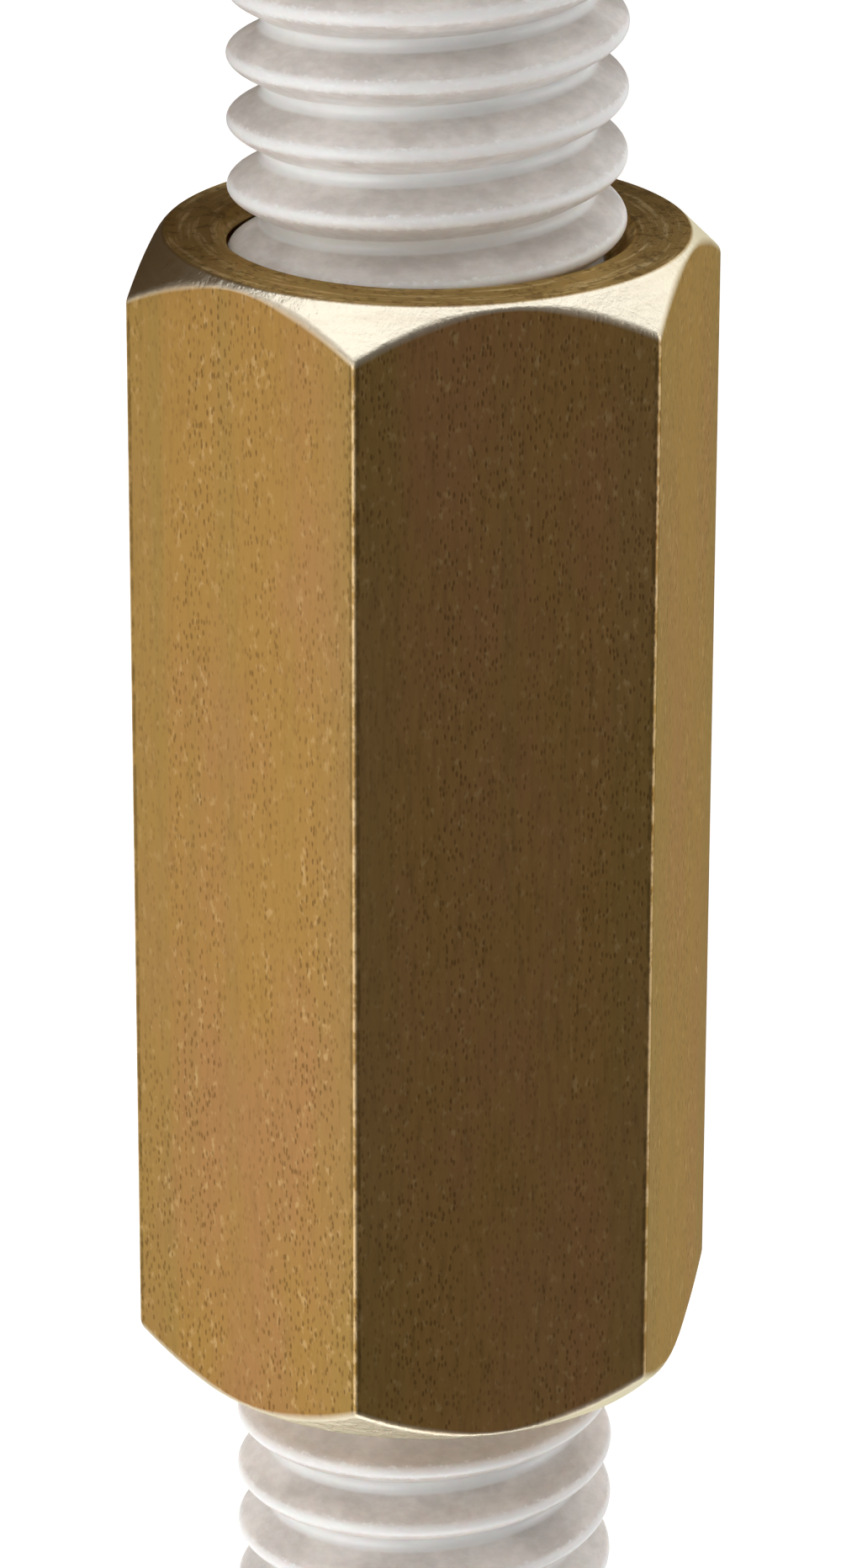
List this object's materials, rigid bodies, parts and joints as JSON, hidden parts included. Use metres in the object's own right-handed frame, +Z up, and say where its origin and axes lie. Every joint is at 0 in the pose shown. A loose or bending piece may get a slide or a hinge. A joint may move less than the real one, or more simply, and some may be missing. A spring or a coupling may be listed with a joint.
{
  "type": "threaded rod coupling",
  "caption": "Long hexagonal coupling nut, tapped right through, with a short threaded rod screwed into each end.",
  "frame": {"origin": "under the middle of the hexagon flat that the nut rests on, half way along its length", "axes": "+Y along the common axis of the nut and both rods, towards the upper rod; +Z up, out of the flat opposite the resting one"},
  "size_m": [0.0146, 0.0636, 0.0127],
  "materials": {
    "plated_steel": "yellow zinc plating, semi-gloss",
    "milky_nylon": "milky off-white, semi-gloss"
  },
  "bodies": {
    "root": {"coupling_nut": "plated_steel", "upper_rod": "milky_nylon", "lower_rod": "milky_nylon"}
  },
  "joints": []
}
